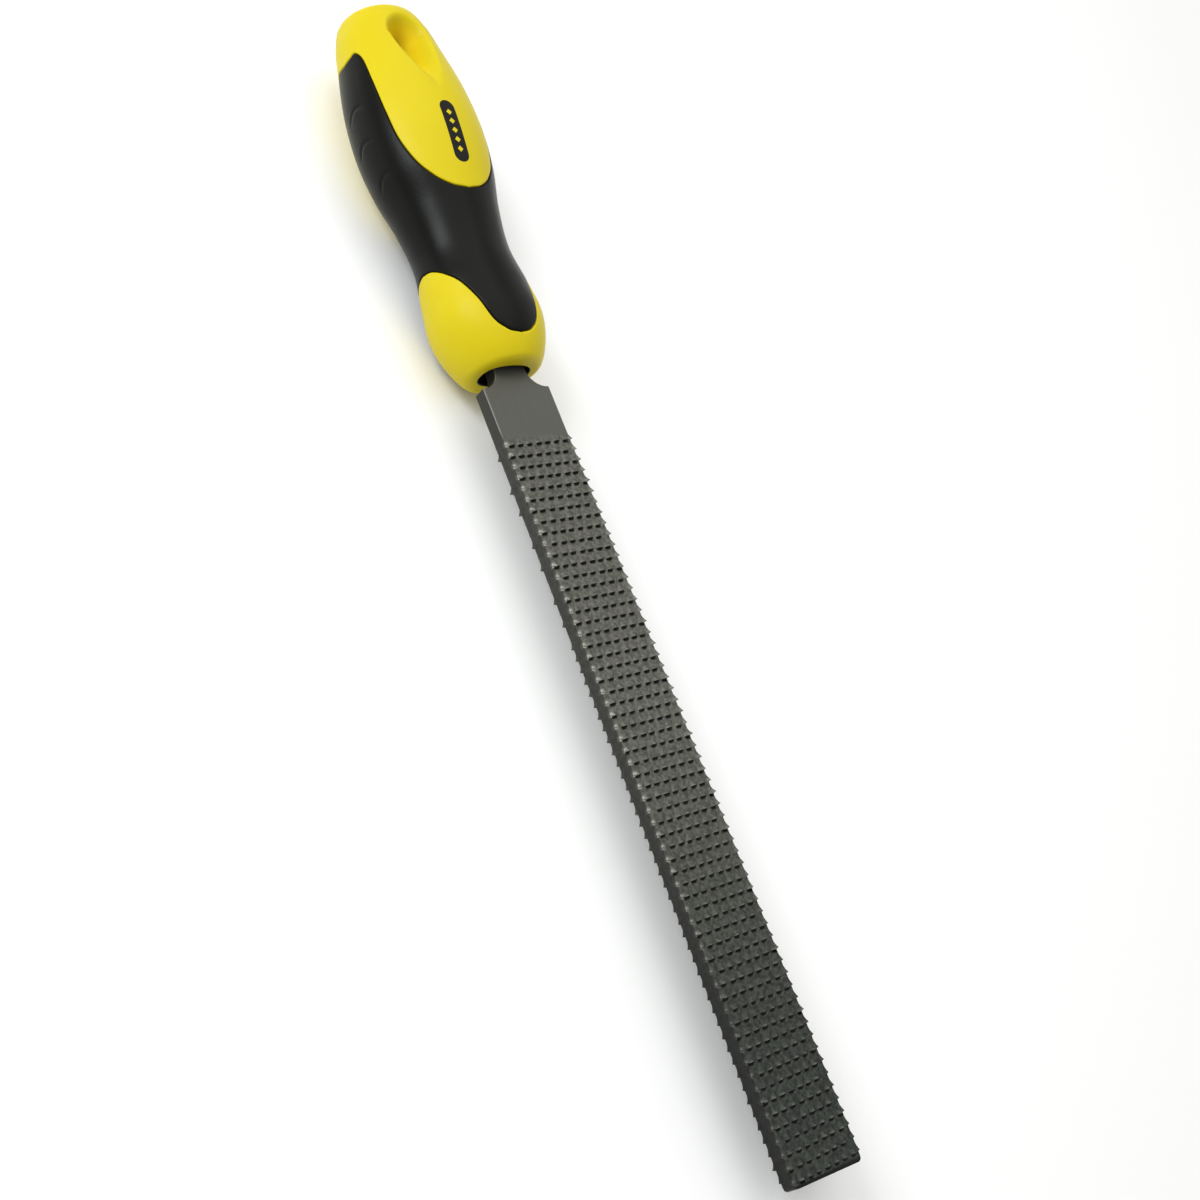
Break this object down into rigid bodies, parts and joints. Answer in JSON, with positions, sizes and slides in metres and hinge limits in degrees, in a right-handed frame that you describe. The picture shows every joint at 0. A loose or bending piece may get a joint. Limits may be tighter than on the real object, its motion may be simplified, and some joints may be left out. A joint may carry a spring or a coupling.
{
  "type": "wood rasp",
  "caption": "Flat wood rasp: a toothed steel blade with a tang fixed in a two-colour moulded handle with a hang hole in its butt.",
  "frame": {"origin": "centre of the whole rasp's bounding box, inside the blade near its shoulders", "axes": "+X along the blade from the handle to the tip, +Z out of the blade's front face, +Y across the blade to its left when the tip is ahead and the front is up"},
  "size_m": [0.3116, 0.0352, 0.0312],
  "materials": {
    "blade_steel": "dark, hardened and unpolished",
    "core_plastic": "satin yellow moulding",
    "grip_rubber": "matt black soft overmould"
  },
  "bodies": {
    "root": {"rasp_blade": "blade_steel", "handle_core": "core_plastic", "grip_sleeve": "grip_rubber"}
  },
  "joints": []
}
